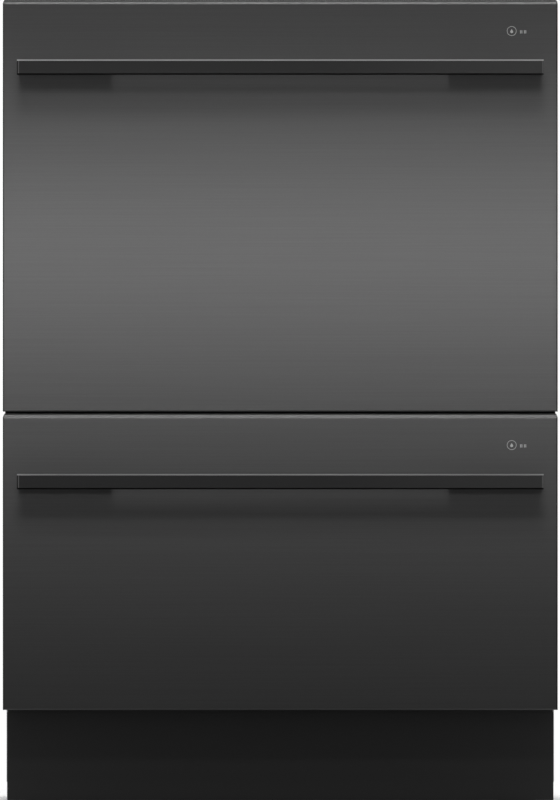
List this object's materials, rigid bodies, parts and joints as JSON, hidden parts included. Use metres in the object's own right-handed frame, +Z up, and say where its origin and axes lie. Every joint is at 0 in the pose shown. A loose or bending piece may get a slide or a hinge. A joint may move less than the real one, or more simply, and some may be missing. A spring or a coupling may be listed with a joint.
{
  "type": "double-drawer dishwasher",
  "caption": "Built-in dishwasher with two pull-out wash drawers, full-width bar handles, black steel fronts, racks, lids and a recessed kick plate.",
  "frame": {"origin": "middle of the footprint on the floor, footprint measured from the handles to the back", "axes": "+Z up, the fronts face -Y, +X to the right of someone facing the fronts"},
  "size_m": [0.597, 0.613, 0.8645],
  "materials": {
    "black_steel": "black stainless, fine horizontal brushing, satin",
    "handle_metal": "black stainless, satin, bright chamfers",
    "kick_black": "matt black powder coat",
    "chassis_steel": "zinc-coated sheet, dull",
    "zinc_steel": "bright zinc",
    "gasket_rubber": "matt",
    "black_plastic": "fine moulded texture",
    "foot_plastic": "glass-filled nylon",
    "white_plastic": "satin moulding",
    "tub_plastic": "satin polypropylene",
    "control_gloss": "gloss black",
    "pump_plastic": "glass-filled polypropylene",
    "filter_steel": "stainless, satin",
    "blue_plastic": "satin moulding",
    "spray_plastic": "satin moulding",
    "rack_wire": "nylon coating on wire",
    "basket_plastic": "satin moulding",
    "dispenser_plastic": "satin moulding"
  },
  "bodies": {
    "chassis": {"side_panels": "chassis_steel", "rear_panel": "chassis_steel", "top_panel": "chassis_steel", "base_tray": "chassis_steel", "middle_brace": "chassis_steel", "front_gasket": "gasket_rubber", "kick_plate": "kick_black", "bench_brackets": "zinc_steel", "cabinet_rails": "zinc_steel", "lid_motors": "black_plastic", "inlet_valve": "white_plastic", "drain_outlet": "black_plastic", "terminal_box": "black_plastic", "panel_screws": "zinc_steel"},
    "front_left_foot_body": {"front_left_foot": "foot_plastic"},
    "front_right_foot_body": {"front_right_foot": "foot_plastic"},
    "rear_left_foot_body": {"rear_left_foot": "foot_plastic"},
    "rear_right_foot_body": {"rear_right_foot": "foot_plastic"},
    "lower_drawer": {"lower_front_panel": "black_steel", "lower_front_liner": "tub_plastic", "lower_control_unit": "control_gloss", "lower_handle": "handle_metal", "lower_tub": "tub_plastic", "lower_drawer_rails": "zinc_steel", "lower_sump_housing": "pump_plastic", "lower_filter_plate": "filter_steel", "lower_rack": "rack_wire", "lower_cutlery_basket": "basket_plastic", "lower_dispenser": "dispenser_plastic"},
    "lower_lid_body": {"lower_lid": "white_plastic", "lower_lid_seal": "gasket_rubber"},
    "lower_middle_rails_body": {"lower_middle_rails": "zinc_steel"},
    "lower_pump_rotor_body": {"lower_pump_rotor": "pump_plastic"},
    "lower_drain_filter_body": {"lower_drain_filter": "blue_plastic"},
    "lower_spray_arm_body": {"lower_spray_arm": "spray_plastic"},
    "lower_folding_tines_body": {"lower_folding_tines": "rack_wire"},
    "lower_cup_shelf_body": {"lower_cup_shelf": "rack_wire"},
    "lower_detergent_door_body": {"lower_detergent_door": "dispenser_plastic"},
    "lower_rinse_aid_cap_body": {"lower_rinse_aid_cap": "blue_plastic"},
    "upper_drawer": {"upper_front_panel": "black_steel", "upper_front_liner": "tub_plastic", "upper_control_unit": "control_gloss", "upper_handle": "handle_metal", "upper_tub": "tub_plastic", "upper_drawer_rails": "zinc_steel", "upper_sump_housing": "pump_plastic", "upper_filter_plate": "filter_steel", "upper_rack": "rack_wire", "upper_cutlery_basket": "basket_plastic", "upper_dispenser": "dispenser_plastic"},
    "upper_lid_body": {"upper_lid": "white_plastic", "upper_lid_seal": "gasket_rubber"},
    "upper_middle_rails_body": {"upper_middle_rails": "zinc_steel"},
    "upper_pump_rotor_body": {"upper_pump_rotor": "pump_plastic"},
    "upper_drain_filter_body": {"upper_drain_filter": "blue_plastic"},
    "upper_spray_arm_body": {"upper_spray_arm": "spray_plastic"},
    "upper_folding_tines_body": {"upper_folding_tines": "rack_wire"},
    "upper_cup_shelf_body": {"upper_cup_shelf": "rack_wire"},
    "upper_detergent_door_body": {"upper_detergent_door": "dispenser_plastic"},
    "upper_rinse_aid_cap_body": {"upper_rinse_aid_cap": "blue_plastic"}
  },
  "joints": [
    {"name": "front_left_foot_height", "type": "slide", "parent": "chassis", "child": "front_left_foot_body", "axis": [0, 0, -1], "range_m": [0, 0.058]},
    {"name": "front_right_foot_height", "type": "slide", "parent": "chassis", "child": "front_right_foot_body", "axis": [0, 0, -1], "range_m": [0, 0.058]},
    {"name": "rear_left_foot_height", "type": "slide", "parent": "chassis", "child": "rear_left_foot_body", "axis": [0, 0, -1], "range_m": [0, 0.058]},
    {"name": "rear_right_foot_height", "type": "slide", "parent": "chassis", "child": "rear_right_foot_body", "axis": [0, 0, -1], "range_m": [0, 0.058]},
    {"name": "lower_drawer_slide", "type": "slide", "parent": "chassis", "child": "lower_drawer", "axis": [0, -1, 0], "range_m": [0, 0.46]},
    {"name": "lower_middle_rail_slide", "type": "slide", "parent": "chassis", "child": "lower_middle_rails_body", "axis": [0, -1, 0], "range_m": [0, 0.23]},
    {"name": "lower_lid_drop", "type": "slide", "parent": "chassis", "child": "lower_lid_body", "axis": [0, 0, -1], "range_m": [0, 0.008]},
    {"name": "lower_pump_spin", "type": "hinge", "parent": "lower_drawer", "child": "lower_pump_rotor_body", "pos_m": [0, 0.029, 0.123], "axis": [0, 0, 1], "continuous": true},
    {"name": "lower_spray_arm_spin", "type": "hinge", "parent": "lower_drawer", "child": "lower_spray_arm_body", "pos_m": [0, 0.029, 0.175], "axis": [0, 0, 1], "continuous": true},
    {"name": "lower_drain_filter_turn", "type": "hinge", "parent": "lower_drawer", "child": "lower_drain_filter_body", "pos_m": [0, 0.1, 0.156], "axis": [0, 0, 1], "range_deg": [0, 90]},
    {"name": "lower_tines_fold", "type": "hinge", "parent": "lower_drawer", "child": "lower_folding_tines_body", "pos_m": [-0.055, 0.029, 0.2023], "axis": [0, 1, 0], "range_deg": [0, 90]},
    {"name": "lower_cup_shelf_fold", "type": "hinge", "parent": "lower_drawer", "child": "lower_cup_shelf_body", "pos_m": [-0.2537, 0.029, 0.274], "axis": [0, -1, 0], "range_deg": [0, 90]},
    {"name": "lower_detergent_door_slide", "type": "slide", "parent": "lower_drawer", "child": "lower_detergent_door_body", "axis": [1, 0, 0], "range_m": [0, 0.068]},
    {"name": "lower_rinse_aid_cap_turn", "type": "hinge", "parent": "lower_drawer", "child": "lower_rinse_aid_cap_body", "pos_m": [0.075, -0.1945, 0.3177], "axis": [0, -1, 0], "range_deg": [0, 90]},
    {"name": "upper_drawer_slide", "type": "slide", "parent": "chassis", "child": "upper_drawer", "axis": [0, -1, 0], "range_m": [0, 0.46]},
    {"name": "upper_middle_rail_slide", "type": "slide", "parent": "chassis", "child": "upper_middle_rails_body", "axis": [0, -1, 0], "range_m": [0, 0.23]},
    {"name": "upper_lid_drop", "type": "slide", "parent": "chassis", "child": "upper_lid_body", "axis": [0, 0, -1], "range_m": [0, 0.008]},
    {"name": "upper_pump_spin", "type": "hinge", "parent": "upper_drawer", "child": "upper_pump_rotor_body", "pos_m": [0, 0.029, 0.448], "axis": [0, 0, 1], "continuous": true},
    {"name": "upper_spray_arm_spin", "type": "hinge", "parent": "upper_drawer", "child": "upper_spray_arm_body", "pos_m": [0, 0.029, 0.5], "axis": [0, 0, 1], "continuous": true},
    {"name": "upper_drain_filter_turn", "type": "hinge", "parent": "upper_drawer", "child": "upper_drain_filter_body", "pos_m": [0, 0.1, 0.481], "axis": [0, 0, 1], "range_deg": [0, 90]},
    {"name": "upper_tines_fold", "type": "hinge", "parent": "upper_drawer", "child": "upper_folding_tines_body", "pos_m": [-0.055, 0.029, 0.5273], "axis": [0, 1, 0], "range_deg": [0, 90]},
    {"name": "upper_cup_shelf_fold", "type": "hinge", "parent": "upper_drawer", "child": "upper_cup_shelf_body", "pos_m": [-0.2537, 0.029, 0.655], "axis": [0, -1, 0], "range_deg": [0, 90]},
    {"name": "upper_detergent_door_slide", "type": "slide", "parent": "upper_drawer", "child": "upper_detergent_door_body", "axis": [1, 0, 0], "range_m": [0, 0.068]},
    {"name": "upper_rinse_aid_cap_turn", "type": "hinge", "parent": "upper_drawer", "child": "upper_rinse_aid_cap_body", "pos_m": [0.075, -0.1945, 0.7717], "axis": [0, -1, 0], "range_deg": [0, 90]}
  ],
  "couplings": [
    {"joint": "lower_middle_rail_slide", "follows": "lower_drawer_slide", "ratio": 0.5},
    {"joint": "upper_middle_rail_slide", "follows": "upper_drawer_slide", "ratio": 0.5}
  ]
}
